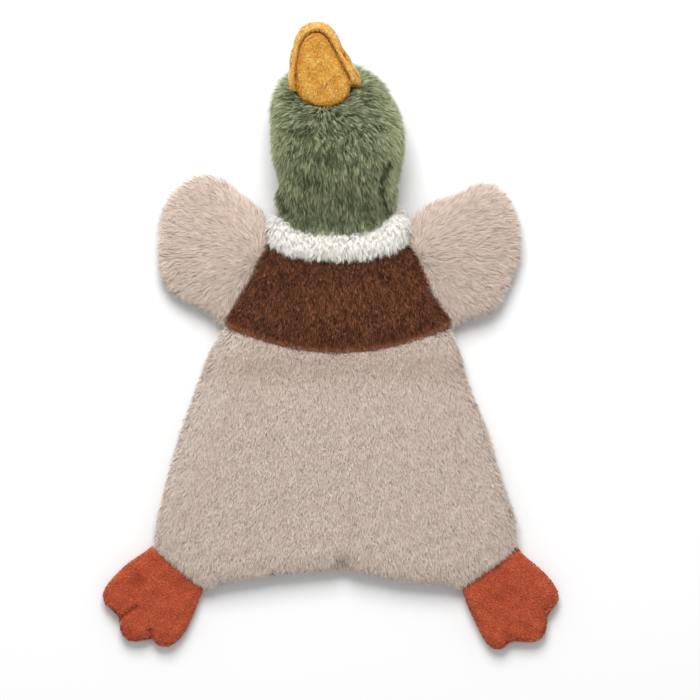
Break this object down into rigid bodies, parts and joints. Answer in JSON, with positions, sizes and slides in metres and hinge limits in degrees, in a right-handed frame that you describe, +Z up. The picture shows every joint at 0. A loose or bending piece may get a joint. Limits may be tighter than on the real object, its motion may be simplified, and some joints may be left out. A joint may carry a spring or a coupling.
{
  "type": "plush duck",
  "caption": "Flat plush duck lying on its back: stuffed furry head with an opening beak, floppy fur body, two wings and two webbed feet on sewn folds.",
  "frame": {"origin": "on the flat back of the body, on the duck's centre line, 67 mm below the lowest point of the seam between chest and body", "axes": "+X to the right as seen from the chin side, +Y from the feet to the beak, +Z up, away from the surface the duck lies on"},
  "size_m": [0.2908, 0.3995, 0.0554],
  "materials": {
    "taupe_fur": "soft short plush pile",
    "brown_fur": "soft short plush pile",
    "white_fur": "fluffy plush pile",
    "green_fur": "soft plush pile",
    "rust_velour": "short velour pile",
    "yellow_velour": "looped velour",
    "polyester_fibre": "loose fibre filling",
    "crinkle_film": "thin crinkled film",
    "white_plastic": "moulded",
    "black_plastic": "polished"
  },
  "bodies": {
    "body": {"body_front": "taupe_fur", "body_back": "taupe_fur", "body_crinkle_sheet": "crinkle_film"},
    "chest": {"chest_front": "brown_fur", "chest_back": "brown_fur", "chest_wadding": "polyester_fibre", "collar_front": "white_fur", "collar_back": "white_fur"},
    "left_wing": {"left_wing_front": "taupe_fur", "left_wing_back": "taupe_fur", "left_wing_wadding": "polyester_fibre"},
    "right_wing": {"right_wing_front": "taupe_fur", "right_wing_back": "taupe_fur", "right_wing_wadding": "polyester_fibre"},
    "left_foot": {"left_foot_top": "rust_velour", "left_foot_sole": "rust_velour", "left_foot_wadding": "polyester_fibre"},
    "right_foot": {"right_foot_top": "rust_velour", "right_foot_sole": "rust_velour", "right_foot_wadding": "polyester_fibre"},
    "head": {"head_chin_panel": "green_fur", "head_crown_panel": "green_fur", "head_stuffing": "polyester_fibre", "squeaker_shell": "white_plastic", "squeaker_reed": "white_plastic", "left_eye": "black_plastic", "right_eye": "black_plastic", "left_eye_washer": "white_plastic", "right_eye_washer": "white_plastic", "upper_bill_palate": "yellow_velour", "upper_bill_crest": "yellow_velour", "upper_bill_wadding": "polyester_fibre"},
    "lower_bill": {"lower_bill_chin": "yellow_velour", "lower_bill_lining": "yellow_velour"}
  },
  "joints": [
    {"name": "waist_fold", "type": "hinge", "parent": "body", "child": "chest", "pos_m": [0, 0.067, 0.0155], "axis": [1, 0, 0], "range_deg": [0, 45]},
    {"name": "neck_fold", "type": "hinge", "parent": "chest", "child": "head", "pos_m": [0, 0.1417, 0.0225], "axis": [1, 0, 0], "range_deg": [0, 75]},
    {"name": "left_wing_fold", "type": "hinge", "parent": "chest", "child": "left_wing", "pos_m": [-0.071, 0.084, 0.013], "axis": [0.4762, 0.8793, 0], "range_deg": [0, 70]},
    {"name": "right_wing_fold", "type": "hinge", "parent": "chest", "child": "right_wing", "pos_m": [0.071, 0.084, 0.013], "axis": [0.4762, -0.8793, 0], "range_deg": [0, 70]},
    {"name": "left_foot_fold", "type": "hinge", "parent": "body", "child": "left_foot", "pos_m": [-0.11723, -0.05637, 0.011], "axis": [-0.7728, 0.6347, 0], "range_deg": [0, 80]},
    {"name": "right_foot_fold", "type": "hinge", "parent": "body", "child": "right_foot", "pos_m": [0.11372, -0.05665, 0.011], "axis": [-0.8066, -0.5911, 0], "range_deg": [0, 80]},
    {"name": "beak_opening", "type": "hinge", "parent": "head", "child": "lower_bill", "pos_m": [-0.0089, 0.2235, 0.0494], "axis": [0.9962, 0.0872, 0], "range_deg": [0, 25]}
  ]
}
